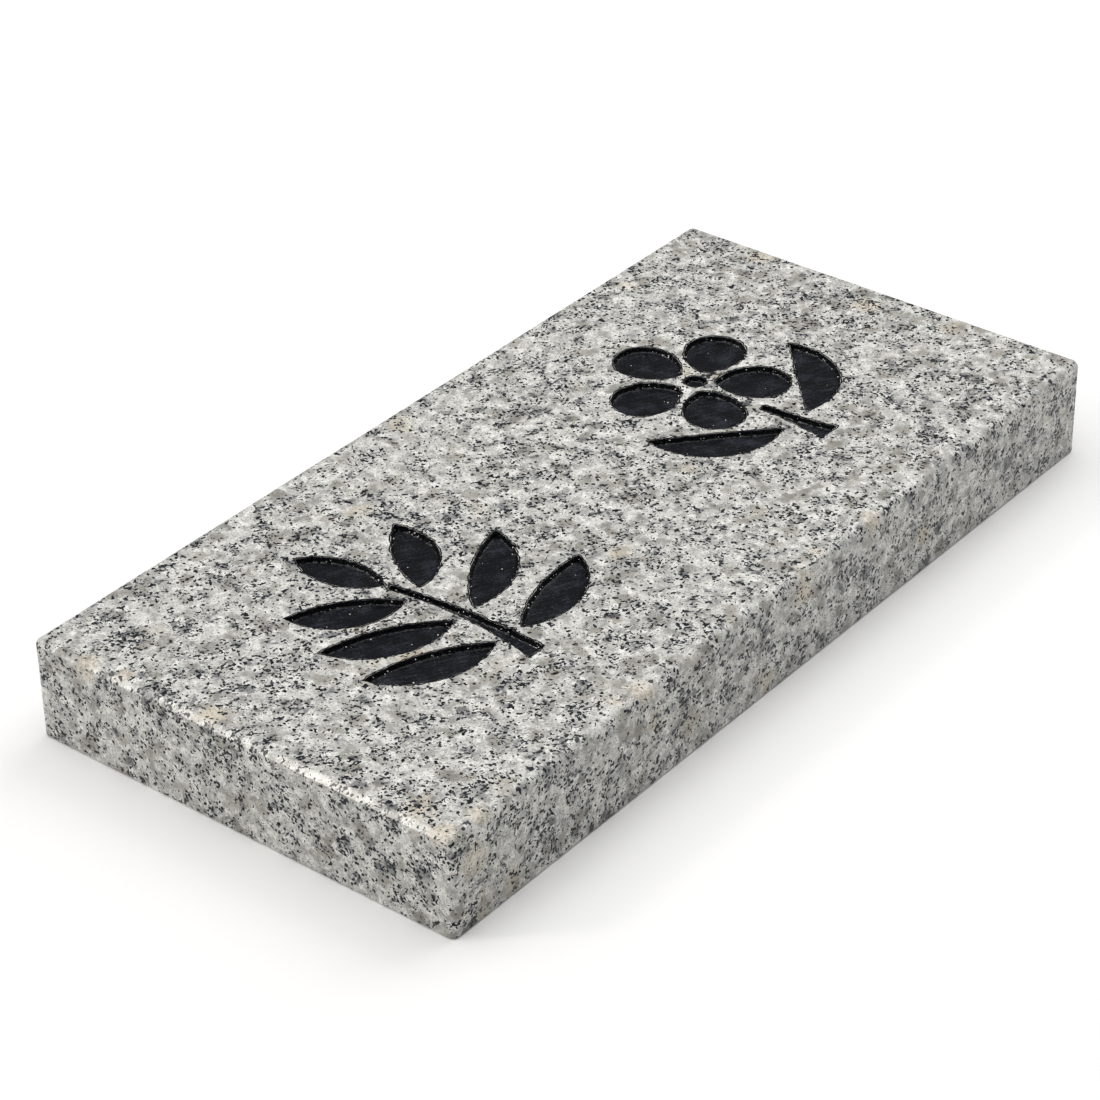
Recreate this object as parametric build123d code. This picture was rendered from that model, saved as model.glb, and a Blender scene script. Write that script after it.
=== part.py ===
"""A carved granite name plate, lying on its back: one stone slab and the black enamel of its carving.

The carving is two plant ornaments, a leaf sprig on the left and a blossom on the right. Each carved
stroke is a flat-bottomed recess of its own, and each recess is painted with a skin of enamel over
its floor and walls, so the enamel of each stroke is a separate solid seated in the stone.

Frame: origin at the centre of the back, +X along the plate from left to right as it is read,
+Y to its upper edge, +Z out of the carved face. Millimetres and degrees.
"""

import os
from math import acos, asin, cos, degrees, radians, sin

from build123d import *

# ---- the stone ----
SLAB_LENGTH = 200.0
SLAB_HEIGHT = 98.5
SLAB_THICKNESS = 21.4
CORNER_RADIUS = 1.6
FACE_EDGE_RADIUS = 1.3
BACK_EDGE_CHAMFER = 0.5

# ---- the carving and its enamel ----
RECESS_DEPTH = 1.5
ENAMEL_FLOOR = 0.3
ENAMEL_WALL = 0.25
RIM_DROP = 0.15
STONE_WEB = 1.5
ORNAMENT_PITCH = 92.0
ORNAMENT_RISE = 1.5

# ---- the leaf sprig: each row of leaves has an angle from the stem and a length ----
SPRIG_FOOT_DROP = 27.5
SPRIG_FOOT_LEFT = 2.0
STEM_FOOT_WIDTH = 4.2
STEM_TOP_WIDTH = 1.4
STEM_BOW = 1.5
LEAF_WIDTH = 8.6
LEAF_CURL = 1.8
LEAF_ROWS = ((70.0, 26.0), (60.0, 26.0), (45.0, 22.5))
FIRST_ROW_AT = 7.5
CROWN_LEAF_LENGTH = 19.5
CROWN_LEAF_WIDTH = 8.4

# ---- the blossom ----
BLOSSOM_RISE = 6.8
PETAL_COUNT = 5
PETAL_RADIUS = 6.2
PETAL_STRETCH = 1.2
PETAL_ROOT = 4.0
EYE_RADIUS = 2.2
STALK_FOOT_DROP = 26.0
STALK_FOOT_WIDTH = 5.4
STALK_TOP_WIDTH = 1.8
SEPAL_WIDTH = 8.6
SEPAL_SWEEP = 66.0

OUT = "parts"


def heading(angle):
    """The unit vector that leans this far from +Y towards +X."""
    return Vector(sin(radians(angle)), cos(radians(angle)))


def angle_of(direction):
    """How far a direction leans from +Y towards +X."""
    lean = degrees(acos(direction.Y / direction.length))
    return lean if direction.X >= 0 else -lean


def right_of(direction):
    """The unit vector a quarter turn clockwise from a direction."""
    return Vector(direction.Y, -direction.X).normalized()


def leaf(start, tip, width, curl=0.0):
    """An outline pointed at both ends, whose mid-line bows to its right by the curl."""
    across = right_of(tip - start)
    middle = (start + tip) / 2
    right = ThreePointArc(start, middle + across * (curl + width / 2), tip)
    left = ThreePointArc(tip, middle + across * (curl - width / 2), start)
    return make_face([right, left])


def drop(tip, head, radius):
    """An outline pointed at the tip and round about its head."""
    along = (tip - head).normalized()
    right = head + right_of(along) * radius
    left = head - right_of(along) * radius
    round_head = ThreePointArc(right, head - along * radius, left)
    left_flank = TangentArc(left, tip, tangent=along)
    right_flank = TangentArc(right, tip, tangent=along)
    return make_face([round_head, left_flank, right_flank])


def stroke(foot, top, foot_width, top_width, bow=0.0):
    """A slim outline between two square ends of different widths, bowed to its right."""
    along = (top - foot).normalized()
    across = right_of(along)
    middle = (foot + top) / 2 + across * bow
    waist = (foot_width + 3 * top_width) / 8
    foot_right, foot_left = foot + across * foot_width / 2, foot - across * foot_width / 2
    top_right, top_left = top + across * top_width / 2, top - across * top_width / 2
    right = ThreePointArc(foot_right, middle + across * waist, top_right)
    left = ThreePointArc(top_left, middle - across * waist, foot_left)
    return make_face([right, Line(top_right, top_left), left, Line(foot_left, foot_right)])


def sprig_outlines():
    """The strokes of the leaf sprig by name, about the ornament's centre."""
    spacings = [(LEAF_WIDTH + STONE_WEB) / sin(radians(angle)) for angle, _ in LEAF_ROWS]
    stem_length = FIRST_ROW_AT + sum(spacings[:-1]) + LEAF_WIDTH / 2
    foot = Vector(-SPRIG_FOOT_LEFT, -SPRIG_FOOT_DROP)
    top = foot + Vector(0, stem_length)
    outlines = {"sprig_stem": stroke(foot, top, STEM_FOOT_WIDTH, STEM_TOP_WIDTH, STEM_BOW)}
    midline = ThreePointArc(foot, (foot + top) / 2 + Vector(STEM_BOW, 0), top)

    def beside_stem(distance, side):
        share = distance / midline.length
        half_width = (STEM_FOOT_WIDTH * (1 - share) + STEM_TOP_WIDTH * share) / 2
        along = midline.tangent_at(share)
        return midline.position_at(share) + right_of(along) * side * (half_width + STONE_WEB), along

    for side, hand in ((-1, "left"), (1, "right")):
        distance = FIRST_ROW_AT
        for row, ((angle, length), spacing) in enumerate(zip(LEAF_ROWS, spacings), start=1):
            start, along = beside_stem(distance, side)
            tip = start + heading(angle_of(along) + side * angle) * length
            outlines[f"sprig_leaf_{hand}_{row}"] = leaf(start, tip, LEAF_WIDTH, side * LEAF_CURL)
            distance += spacing
    crown_start = top + midline.tangent_at(1) * STONE_WEB
    crown_tip = crown_start + midline.tangent_at(1) * CROWN_LEAF_LENGTH
    outlines["sprig_leaf_crown"] = leaf(crown_start, crown_tip, CROWN_LEAF_WIDTH)
    return outlines


def blossom_outlines():
    """The strokes of the blossom by name, about the ornament's centre."""
    centre = Vector(0, BLOSSOM_RISE)
    half_step = radians(180 / PETAL_COUNT)
    reach = (PETAL_RADIUS + STONE_WEB / 2) / sin(half_step) + PETAL_STRETCH
    outlines = {"blossom_eye": Pos(centre) * Circle(EYE_RADIUS)}
    for petal in range(PETAL_COUNT):
        outward = heading(petal * 360 / PETAL_COUNT)
        tip, head = centre + outward * PETAL_ROOT, centre + outward * reach
        outlines[f"blossom_petal_{petal + 1}"] = drop(tip, head, PETAL_RADIUS)
    stalk_top = centre - Vector(0, reach * cos(half_step) + PETAL_RADIUS)
    stalk_foot = Vector(0, -STALK_FOOT_DROP)
    outlines["blossom_stalk"] = stroke(stalk_foot, stalk_top, STALK_FOOT_WIDTH, STALK_TOP_WIDTH)
    sepal_path = reach + PETAL_RADIUS + STONE_WEB + SEPAL_WIDTH / 2
    sepal_gap = degrees(asin((STALK_FOOT_WIDTH / 2 + STONE_WEB) / sepal_path))
    sagitta = sepal_path * (1 - cos(radians(SEPAL_SWEEP / 2)))
    for side, hand in ((-1, "left"), (1, "right")):
        start = centre - heading(-side * sepal_gap) * sepal_path
        tip = centre - heading(-side * (sepal_gap + SEPAL_SWEEP)) * sepal_path
        outlines[f"blossom_sepal_{hand}"] = leaf(start, tip, SEPAL_WIDTH, side * sagitta)
    return outlines


def stone_blank():
    """The slab before it is carved: rounded at its corners and face edges, chamfered at the back."""
    flat_on_back = (Align.CENTER, Align.CENTER, Align.MIN)
    blank = Box(SLAB_LENGTH, SLAB_HEIGHT, SLAB_THICKNESS, align=flat_on_back)
    blank = fillet(blank.edges().filter_by(Axis.Z), CORNER_RADIUS)
    blank = fillet(blank.faces().sort_by(Axis.Z)[-1].edges(), FACE_EDGE_RADIUS)
    return chamfer(blank.faces().sort_by(Axis.Z)[0].edges(), BACK_EDGE_CHAMFER)


def enamel_skin(outline):
    """The enamel of one recess: its floor, and its walls up to just under the stone's face."""
    inside = offset(outline, amount=-ENAMEL_WALL)
    return extrude(outline, RECESS_DEPTH - RIM_DROP) - Pos(0, 0, ENAMEL_FLOOR) * extrude(inside, RECESS_DEPTH)


# ---- build ----
os.makedirs(OUT, exist_ok=True)
ornaments = ((-ORNAMENT_PITCH / 2, sprig_outlines()), (ORNAMENT_PITCH / 2, blossom_outlines()))
stone = stone_blank()
for across, outlines in ornaments:
    carved_floor = Pos(across, ORNAMENT_RISE, SLAB_THICKNESS - RECESS_DEPTH)
    for name, outline in outlines.items():
        stone -= carved_floor * extrude(outline, RECESS_DEPTH + STONE_WEB)
        export_step(carved_floor * enamel_skin(outline), f"{OUT}/{name}.step")
export_step(stone, f"{OUT}/stone_slab.step")
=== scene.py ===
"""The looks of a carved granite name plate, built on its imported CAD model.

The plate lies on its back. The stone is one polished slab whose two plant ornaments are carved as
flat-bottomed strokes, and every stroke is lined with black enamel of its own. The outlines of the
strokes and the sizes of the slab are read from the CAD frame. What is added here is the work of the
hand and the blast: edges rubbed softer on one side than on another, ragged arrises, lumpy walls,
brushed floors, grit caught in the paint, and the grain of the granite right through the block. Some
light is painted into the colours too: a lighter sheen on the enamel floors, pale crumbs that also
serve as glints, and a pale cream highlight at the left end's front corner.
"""

import logging
import math
from dataclasses import dataclass, field
from enum import Enum

import bmesh
import bpy
import numpy as np
from mathutils import Matrix, Vector, noise
from mathutils.geometry import delaunay_2d_cdt


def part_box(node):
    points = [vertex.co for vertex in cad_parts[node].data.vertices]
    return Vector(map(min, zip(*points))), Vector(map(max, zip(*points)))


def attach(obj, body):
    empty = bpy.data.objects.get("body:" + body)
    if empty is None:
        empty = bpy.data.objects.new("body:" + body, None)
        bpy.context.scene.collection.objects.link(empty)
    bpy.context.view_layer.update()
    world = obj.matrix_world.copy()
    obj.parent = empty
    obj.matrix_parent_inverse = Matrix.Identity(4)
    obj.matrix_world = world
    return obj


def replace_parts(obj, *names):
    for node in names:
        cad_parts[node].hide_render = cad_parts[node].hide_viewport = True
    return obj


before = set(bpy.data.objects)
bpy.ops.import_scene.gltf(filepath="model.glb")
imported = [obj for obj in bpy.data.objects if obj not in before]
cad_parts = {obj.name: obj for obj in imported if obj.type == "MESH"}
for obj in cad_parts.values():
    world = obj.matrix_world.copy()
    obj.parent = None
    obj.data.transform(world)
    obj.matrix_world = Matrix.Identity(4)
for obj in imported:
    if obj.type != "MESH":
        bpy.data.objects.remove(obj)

MM = 0.001
PER_MM2 = 1.0 / MM**2
BODY = "root"
STONE_NODE = "stone_slab"
LOG = logging.getLogger("name_plate")

Socket = bpy.types.NodeSocket
Colour = tuple[float, float, float, float]


class Slot(Enum):
    """The finishes that the record names."""

    GRANITE = "granite"
    ENAMEL = "enamel"


class Side(Enum):
    """The four sides of the slab, by the direction in which each one faces."""

    LEFT_END = (-1.0, 0.0)
    RIGHT_END = (1.0, 0.0)
    LOWER = (0.0, -1.0)
    UPPER = (0.0, 1.0)


# ---- node trees ----


class Tree:
    """A node tree that is wired up one node at a time."""

    vector_inputs = {"a": 0, "b": 1, "c": 2, "scale": "Scale"}

    def __init__(self, tree: bpy.types.NodeTree) -> None:
        """Wraps a node tree and empties it.

        Args:
            tree: a material's, a world's or a group's tree.
        """
        self.tree = tree
        tree.nodes.clear()

    def add(self, kind: str, inputs: dict | None = None, **settings: object) -> bpy.types.Node:
        """Adds a node.

        Args:
            kind: the node's type name.
            inputs: a value or an output socket for each input, by the input's name or number.
            settings: the node's own properties.

        Returns:
            The new node.
        """
        node = self.tree.nodes.new(kind)
        for name, value in settings.items():
            setattr(node, name, value)
        for key, value in (inputs or {}).items():
            if isinstance(value, Socket):
                self.tree.links.new(value, node.inputs[key])
            else:
                node.inputs[key].default_value = value
        return node

    def math(self, operation: str, *values: Socket | float, clamp: bool = False) -> Socket:
        """Adds a Math node and returns its result."""
        inputs = dict(enumerate(values))
        return self.add("ShaderNodeMath", inputs, operation=operation, use_clamp=clamp).outputs[0]

    def vector(self, operation: str, output: int = 0, **inputs: object) -> Socket:
        """Adds a Vector Math node whose inputs are named a, b, c or scale, and returns an output."""
        given = {self.vector_inputs[name]: value for name, value in inputs.items()}
        return self.add("ShaderNodeVectorMath", given, operation=operation).outputs[output]

    def split(self, vector: Socket) -> bpy.types.bpy_prop_collection:
        """Splits a vector and returns its three parts."""
        return self.add("ShaderNodeSeparateXYZ", {0: vector}).outputs

    def mix(self, share: Socket | float, low: Socket | Colour, high: Socket | Colour) -> Socket:
        """Mixes two colours and returns the mixture; the share is that of the second."""
        return self.add("ShaderNodeMix", {0: share, 6: low, 7: high}, data_type="RGBA").outputs[2]

    def ramp(self, value: Socket, low: Socket | float, high: Socket | float, start: float = 0.0,
             end: float = 1.0) -> Socket:
        """Maps a range of a value smoothly to another range and returns the result."""
        inputs = {"Value": value, "From Min": low, "From Max": high, "To Min": start, "To Max": end}
        return self.add("ShaderNodeMapRange", inputs, interpolation_type="SMOOTHSTEP").outputs[0]

    def noise(self, vector: Socket, size: float, detail: float = 2.0) -> Socket:
        """Adds a Noise texture whose blotches are about that many metres wide, and returns its value."""
        inputs = {"Vector": vector, "Scale": 1.0 / size, "Detail": detail}
        return self.add("ShaderNodeTexNoise", inputs).outputs["Fac"]

    def bump(self, height: Socket, depth: float, normal: Socket | None = None) -> Socket:
        """Adds a Bump of a depth in metres, over a normal where one is given, and returns the normal."""
        under = {"Normal": normal} if normal else {}
        return self.add("ShaderNodeBump", under | {"Height": height, "Distance": depth}).outputs[0]

    def lay(self, group: bpy.types.NodeTree, inputs: dict) -> bpy.types.bpy_prop_collection:
        """Places a shader group with these inputs and returns its outputs."""
        return self.add("ShaderNodeGroup", inputs, node_tree=group).outputs

    def here(self, turn: tuple[float, float, float] = (0.0, 0.0, 0.0)) -> Socket:
        """Returns the place in the object, in metres, turned by some angles about the axes."""
        place = self.add("ShaderNodeTexCoord").outputs["Object"]
        return self.add("ShaderNodeMapping", {"Vector": place, "Rotation": turn}).outputs[0]


class MaterialTree(Tree):
    """The node tree of a new material."""

    def __init__(self, name: str) -> None:
        """Makes the material.

        Args:
            name: the material's name.
        """
        self.material = bpy.data.materials.new(name)
        self.material.use_nodes = True
        super().__init__(self.material.node_tree)

    def finish(self, inputs: dict) -> bpy.types.Material:
        """Ends the tree in a Principled shader.

        Args:
            inputs: the shader's inputs.

        Returns:
            The material.
        """
        shader = self.add("ShaderNodeBsdfPrincipled", inputs)
        self.add("ShaderNodeOutputMaterial", {"Surface": shader.outputs[0]})
        return self.material


class GroupTree(Tree):
    """The node tree of a new group with named inputs and outputs."""

    def __init__(self, name: str, inputs: dict, outputs: dict, kind: str = "ShaderNodeTree") -> None:
        """Makes the group, with only its sockets.

        Args:
            name: the group's name.
            inputs: each input's kind of socket, and its default value or nothing.
            outputs: each output's kind of socket.
            kind: what the group is a tree of.
        """
        group = bpy.data.node_groups.new(name, kind)
        self.identifiers = {}
        for label, (holds, default) in inputs.items():
            socket = group.interface.new_socket(label, in_out="INPUT", socket_type=f"NodeSocket{holds}")
            self.identifiers[label] = socket.identifier
            if default is not None:
                socket.default_value = default
        for label, holds in outputs.items():
            group.interface.new_socket(label, in_out="OUTPUT", socket_type=f"NodeSocket{holds}")
        super().__init__(group)
        self.given = self.add("NodeGroupInput").outputs

    def finish(self, results: dict[str, Socket]) -> bpy.types.NodeTree:
        """Joins the results to the group's outputs and returns the group."""
        self.add("NodeGroupOutput", results)
        return self.tree


def build_grain_group() -> bpy.types.NodeTree:
    """Builds the group that scatters one mineral's grains through the stone.

    Returns:
        A group whose Mask is 1 in the grains and whose Tone is a random value for each grain.
    """
    floats = {"Size": MM, "Share": 0.5, "Reach": 0.5, "Softness": 0.1, "Ragged": 0.0}
    sockets = {"Vector": ("Vector", None)} | {k: ("Float", v) for k, v in floats.items()}
    tree = GroupTree("mineral_grains", sockets, {"Mask": "Float", "Tone": "Float"})
    given = tree.given
    scale = tree.math("DIVIDE", 1.0, given["Size"])
    waver_scale = tree.math("MULTIPLY", scale, 1.7)
    waver_inputs = {"Vector": given["Vector"], "Scale": waver_scale, "Detail": 2.0}
    waver = tree.add("ShaderNodeTexNoise", waver_inputs).outputs["Color"]
    centred = tree.vector("SUBTRACT", a=waver, b=(0.5, 0.5, 0.5))
    reach = tree.math("MULTIPLY", given["Ragged"], given["Size"])
    push = tree.vector("SCALE", a=centred, scale=reach)
    place = tree.vector("ADD", a=given["Vector"], b=push)
    cells = tree.add("ShaderNodeTexVoronoi", {"Vector": place, "Scale": scale})
    lots = tree.add("ShaderNodeSeparateColor", {0: cells.outputs["Color"]})
    chosen = tree.math("LESS_THAN", lots.outputs[0], given["Share"])
    rim = tree.math("SUBTRACT", given["Reach"], cells.outputs["Distance"])
    inside = tree.math("DIVIDE", rim, given["Softness"], clamp=True)
    return tree.finish({"Mask": tree.math("MULTIPLY", chosen, inside), "Tone": lots.outputs[1]})


def build_fleck_group() -> bpy.types.NodeTree:
    """Builds the group of ragged flecks that run together in chains between the other grains.

    Returns:
        A group whose Mask is 1 in the flecks and whose Tone drifts from one fleck to the next.
    """
    floats = {"Size": MM, "Threshold": 0.6, "Softness": 0.03, "Ragged": 1.0}
    sockets = {"Vector": ("Vector", None)} | {k: ("Float", v) for k, v in floats.items()}
    tree = GroupTree("mineral_flecks", sockets, {"Mask": "Float", "Tone": "Float"})
    given = tree.given
    place = given["Vector"]
    scale = tree.math("DIVIDE", 1.0, given["Size"])
    field_inputs = {"Vector": place, "Scale": scale, "Detail": 1.5, "Roughness": 0.5,
                    "Distortion": given["Ragged"]}
    grains = tree.add("ShaderNodeTexNoise", field_inputs).outputs["Fac"]
    end = tree.math("ADD", given["Threshold"], given["Softness"])
    tone_inputs = {"Vector": place, "Scale": tree.math("MULTIPLY", scale, 0.45), "Detail": 2.0}
    tone = tree.add("ShaderNodeTexNoise", tone_inputs).outputs["Fac"]
    mask = tree.ramp(grains, given["Threshold"], end)
    return tree.finish({"Mask": mask, "Tone": tree.ramp(tone, 0.35, 0.65)})


def build_hairline_group() -> bpy.types.NodeTree:
    """Builds the group of fine scratches and brush lines that run along one direction.

    Returns:
        A group whose Height stands up along the lines, and is level between them.
    """
    sockets = {"Vector": ("Vector", None), "Spacing": ("Float", MM), "Length": ("Float", 20.0)}
    tree = GroupTree("hairlines", sockets, {"Height": "Float"})
    given = tree.given
    bow = tree.noise(given["Vector"], 9 * MM)
    parts = tree.split(given["Vector"])
    bent = tree.math("MULTIPLY_ADD", bow, 3 * MM, parts[1])
    along = tree.math("DIVIDE", parts[0], given["Length"])
    stretched = tree.add("ShaderNodeCombineXYZ", {0: along, 1: bent, 2: parts[2]}).outputs[0]
    scale = tree.math("DIVIDE", 1.0, given["Spacing"])
    lines = tree.add("ShaderNodeTexNoise", {"Vector": stretched, "Scale": scale, "Detail": 3.0})
    return tree.finish({"Height": tree.ramp(lines.outputs["Fac"], 0.45, 0.75)})


# ---- finishes ----


@dataclass(frozen=True)
class Grain:
    """One mineral of the granite: its colour, how large its grains are and how they break."""

    size: float
    share: float
    light: Colour
    dark: Colour
    reach: float = 0.6
    softness: float = 0.15
    ragged: float = 0.8

    def lay(self, tree: Tree, group: bpy.types.NodeTree, place: Socket, ground: Socket,
            share: Socket | None = None) -> tuple[Socket, Socket]:
        """Lays the mineral's grains over what is there.

        Args:
            tree: the tree that gets them.
            group: the group that scatters grains.
            place: where in the stone.
            ground: the colour under the grains.
            share: a varying share of grains, in place of the mineral's own.

        Returns:
            The colour with the grains, and their mask.
        """
        inputs = {"Vector": place, "Size": self.size, "Share": self.share if share is None else share,
                  "Reach": self.reach, "Softness": self.softness, "Ragged": self.ragged}
        grains = tree.lay(group, inputs)
        colour = tree.mix(grains["Tone"], self.dark, self.light)
        return tree.mix(grains["Mask"], ground, colour), grains["Mask"]


@dataclass(frozen=True)
class Flecks:
    """A dark mineral in ragged chains, crowded in some places and sparse in others."""

    size: float
    sparse: float
    crowded: float
    softness: float
    light: Colour
    dark: Colour
    ragged: float = 1.0
    strength: float = 1.0

    def lay(self, tree: Tree, group: bpy.types.NodeTree, place: Socket, ground: Socket,
            crowd: Socket) -> tuple[Socket, Socket]:
        """Lays the mineral's flecks over what is there.

        Args:
            tree: the tree that gets them.
            group: the group that scatters flecks.
            place: where in the stone.
            ground: the colour under the flecks.
            crowd: where they are crowded, from 0 to 1.

        Returns:
            The colour with the flecks, and their mask.
        """
        threshold = tree.math("MULTIPLY_ADD", crowd, self.crowded - self.sparse, self.sparse)
        inputs = {"Vector": place, "Size": self.size, "Threshold": threshold,
                  "Softness": self.softness, "Ragged": self.ragged}
        flecks = tree.lay(group, inputs)
        colour = tree.mix(flecks["Tone"], self.dark, self.light)
        mask = tree.math("MULTIPLY", flecks["Mask"], self.strength)
        return tree.mix(mask, ground, colour), mask


@dataclass(frozen=True)
class Spot:
    """One large crystal, cluster or painted highlight at a chosen place in the block, in millimetres."""

    x: float
    y: float
    z: float
    radius: float

    def mask(self, tree: Tree, place: Socket) -> Socket:
        """Masks the spot.

        Args:
            tree: the tree that gets the mask.
            place: where in the stone.

        Returns:
            A value that is 1 at the spot's middle and 0 outside it.
        """
        centre = (self.x * MM, self.y * MM, self.z * MM)
        gap = tree.vector("DISTANCE", output=1, a=place, b=centre)
        return tree.ramp(gap, 0.45 * self.radius * MM, 1.15 * self.radius * MM, 1.0, 0.0)


@dataclass(frozen=True)
class Granite:
    """White granite: pale feldspar with grey quartz, a little beige feldspar and black mica."""

    feldspar_light: Colour = (0.82, 0.81, 0.77, 1.0)
    feldspar_shade: Colour = (0.28, 0.277, 0.262, 1.0)
    crystals: Grain = Grain(
        size=1.3 * MM, share=1.0, light=(0.82, 0.81, 0.77, 1), dark=(0.28, 0.277, 0.262, 1),
        reach=2.0, softness=0.1, ragged=0.8)
    crystal_share: float = 0.5
    seam_width: float = 0.07
    quartz: Grain = Grain(
        size=3.4 * MM, share=0.24, light=(0.33, 0.305, 0.265, 1), dark=(0.18, 0.165, 0.145, 1),
        reach=0.7, softness=0.35, ragged=1.2)
    quartz_strength: float = 0.72
    beige: Grain = Grain(
        size=7.0 * MM, share=0.05, light=(0.73, 0.655, 0.53, 1), dark=(0.45, 0.39, 0.305, 1),
        reach=0.6, softness=0.5, ragged=0.8)
    # Spot(-98, -47, 21) on the left end's top edge by the front corner is a painted highlight: a pale
    # cream patch where the rubbed edge's highlight ends. The other spots are beige stains in the stone.
    beige_and_highlight_spots: tuple[Spot, ...] = (
        Spot(-99, 36, 20, 3), Spot(-98, 28, 21, 2), Spot(-98, -47, 21, 2.5), Spot(-91, -48, 21, 2.5),
        Spot(-94, -49, 14, 4), Spot(-46, -48, 21, 3), Spot(9, -47, 21, 2), Spot(25, -49, 21, 3))
    stain_and_highlight_strength: float = 0.6
    stain_and_highlight_clearing: float = 0.8
    dark_spots: tuple[Spot, ...] = (
        Spot(-100, -35, 9, 2.5), Spot(-98, 20, 20, 4), Spot(-89, 35, 21, 4))
    dark_spot_crowding: float = 1.35
    cluster_size: float = 4.5 * MM
    smears: Flecks = Flecks(
        size=1.9 * MM, sparse=0.70, crowded=0.51, softness=0.10, light=(0.17, 0.175, 0.18, 1),
        dark=(0.05, 0.054, 0.066, 1), ragged=0.8, strength=0.7)
    flecks: Flecks = Flecks(
        size=0.6 * MM, sparse=0.67, crowded=0.573, softness=0.02, light=(0.010, 0.011, 0.014, 1),
        dark=(0.002, 0.003, 0.006, 1), ragged=0.4)
    mica: Grain = Grain(
        size=0.55 * MM, share=0.115, light=(0.03, 0.037, 0.044, 1), dark=(0.002, 0.0025, 0.004, 1),
        reach=0.8, softness=0.05, ragged=0.7)
    mica_crowding: tuple[float, float] = (0.2, 1.6)
    book_mica: Grain = Grain(
        size=2.6 * MM, share=0.11, light=(0.02, 0.022, 0.03, 1), dark=(0.004, 0.005, 0.008, 1),
        reach=0.26, softness=0.05, ragged=1.3)
    fine_size: float = 0.6 * MM
    cloud_size: float = 2.6 * MM
    spot_ragged_size: float = 1.6 * MM
    spot_ragged_reach: float = 1.5 * MM
    turn: tuple[float, float, float] = (0.3, 0.2, 0.7)

    def build_group(self, grains: bpy.types.NodeTree, flecks: bpy.types.NodeTree) -> bpy.types.NodeTree:
        """Builds the group that gives the stone its colour at any place in the block.

        Args:
            grains: the group that scatters one mineral's grains.
            flecks: the group that scatters ragged flecks.

        Returns:
            A group with a Colour, a Mica mask and a Height.
        """
        outputs = {"Colour": "Color", "Mica": "Float", "Height": "Float"}
        tree = GroupTree("granite_body", {"Vector": ("Vector", None)}, outputs)
        block = tree.given["Vector"]
        place = tree.add("ShaderNodeMapping", {"Vector": block, "Rotation": self.turn}).outputs[0]
        fine = tree.noise(place, self.fine_size, 3.0)
        colour = self.lay_feldspar(tree, grains, place, fine)
        cloudy, quartz = self.quartz.lay(tree, grains, place, colour)
        colour = tree.mix(self.quartz_strength, colour, cloudy)
        colour, _ = self.beige.lay(tree, grains, place, colour)
        # Beige stains and one painted highlight; inside them the flecks are thinned.
        stain_and_highlight = self.spots(tree, block, self.beige_and_highlight_spots)
        stain_and_highlight_colour = tree.mix(tree.ramp(fine, 0.35, 0.6), self.beige.dark, self.beige.light)
        colour = tree.mix(tree.math("MULTIPLY", stain_and_highlight, self.stain_and_highlight_strength), colour, stain_and_highlight_colour)
        colour = tree.mix(tree.ramp(fine, 0.3, 0.5, 0.5, 0.0), colour, self.feldspar_shade)
        crowd = tree.ramp(tree.noise(place, self.cluster_size, 2.0), 0.34, 0.66)
        dark_spots = self.spots(tree, block, self.dark_spots)
        darkened = tree.math("MULTIPLY", dark_spots, self.dark_spot_crowding)
        crowd = tree.math("MAXIMUM", crowd, darkened)
        clear = tree.math("MULTIPLY_ADD", stain_and_highlight, -self.stain_and_highlight_clearing, 1.0)
        crowd = tree.math("MULTIPLY", crowd, clear)
        colour, smears = self.smears.lay(tree, flecks, place, colour, crowd)
        colour, specks = self.flecks.lay(tree, flecks, place, colour, crowd)
        least, more = (self.mica.share * part for part in self.mica_crowding)
        share = tree.math("MULTIPLY_ADD", crowd, more, least)
        colour, flakes = self.mica.lay(tree, grains, place, colour, share)
        colour, books = self.book_mica.lay(tree, grains, place, colour)
        dark = tree.math("MAXIMUM", specks, tree.math("MAXIMUM", flakes, books))
        pitted = tree.math("MULTIPLY_ADD", dark, -0.8, tree.math("MULTIPLY", fine, 0.3))
        height = tree.math("MULTIPLY_ADD", quartz, 0.1, pitted)
        return tree.finish({"Colour": colour, "Mica": dark, "Height": height})

    def lay_feldspar(self, tree: Tree, grains: bpy.types.NodeTree, place: Socket, fine: Socket) -> Socket:
        """Lays the clouded white crystals and the grey seams between them.

        Args:
            tree: the tree that gets them.
            grains: the group that scatters one mineral's grains.
            place: where in the stone.
            fine: the finest mottling.

        Returns:
            Their colour.
        """
        cloud = tree.noise(place, self.cloud_size, 3.0)
        clouded = tree.math("MULTIPLY_ADD", cloud, 0.6, tree.math("MULTIPLY", fine, 0.4))
        ground = tree.mix(tree.ramp(clouded, 0.40, 0.58), self.feldspar_shade, self.feldspar_light)
        crystals, _ = self.crystals.lay(tree, grains, place, ground)
        colour = tree.mix(self.crystal_share, ground, crystals)
        seam_inputs = {"Vector": place, "Scale": 1.0 / self.crystals.size}
        seams = tree.add("ShaderNodeTexVoronoi", seam_inputs, feature="DISTANCE_TO_EDGE")
        near = tree.ramp(seams.outputs["Distance"], 0.0, self.seam_width, 0.6, 0.0)
        faint = tree.math("MULTIPLY", near, cloud)
        return tree.mix(faint, colour, self.feldspar_shade)

    def spots(self, tree: Tree, place: Socket, spots: tuple[Spot, ...]) -> Socket:
        """Masks some spots, with ragged borders.

        Args:
            tree: the tree that gets the mask.
            place: where in the stone.
            spots: the spots.

        Returns:
            A value that is 1 in the spots.
        """
        waver_inputs = {"Vector": place, "Scale": 1.0 / self.spot_ragged_size, "Detail": 2.0}
        waver = tree.add("ShaderNodeTexNoise", waver_inputs).outputs["Color"]
        reach = self.spot_ragged_reach
        moved = tree.vector("MULTIPLY_ADD", a=waver, b=(2 * reach,) * 3, c=(-reach,) * 3)
        ragged = tree.vector("ADD", a=place, b=moved)
        mask = 0.0
        for spot in spots:
            mask = tree.math("MAXIMUM", mask, spot.mask(tree, ragged))
        return mask


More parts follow.
